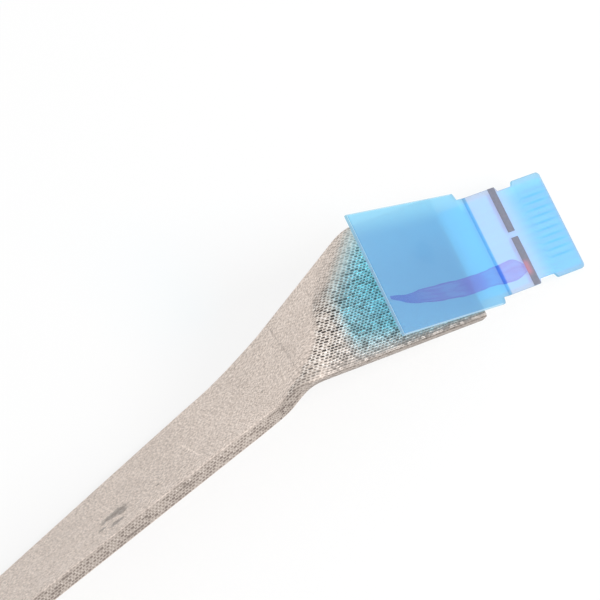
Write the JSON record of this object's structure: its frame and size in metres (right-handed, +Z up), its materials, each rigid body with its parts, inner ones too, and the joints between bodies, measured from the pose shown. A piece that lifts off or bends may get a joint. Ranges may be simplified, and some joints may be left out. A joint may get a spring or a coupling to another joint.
{
  "type": "flat flex cable",
  "caption": "Shielded flat flex cable with a folded cloth-wrapped run, bare contact ends and a translucent pull-tab stiffener.",
  "frame": {"origin": "the corner of the contact tip, beside its last conductor, that rests on the surface", "axes": "+X the way the cable's near end points, with the flat run lying along -X; +Z up from the surface"},
  "size_m": [0.1189, 0.0098, 0.0092],
  "materials": {
    "tinned_copper": "bright tin over flat copper",
    "clear_film": "thin polyester film",
    "conductive_cloth": "plain-woven metallised cloth with a fine sparkle",
    "blue_film": "translucent glossy polyester",
    "grey_ink": "thin printed ink",
    "red_ink": "translucent marker ink"
  },
  "bodies": {
    "root": {"conductor_1": "tinned_copper", "conductor_2": "tinned_copper", "conductor_3": "tinned_copper", "conductor_4": "tinned_copper", "conductor_5": "tinned_copper", "conductor_6": "tinned_copper", "conductor_7": "tinned_copper", "conductor_8": "tinned_copper", "conductor_9": "tinned_copper", "conductor_10": "tinned_copper", "upper_film": "clear_film", "lower_film": "clear_film", "cloth_wrap": "conductive_cloth", "pull_tab_stiffener": "blue_film", "plain_stiffener": "blue_film", "insertion_bar_left": "grey_ink", "insertion_bar_right": "grey_ink", "inspection_stroke": "red_ink"}
  },
  "joints": []
}
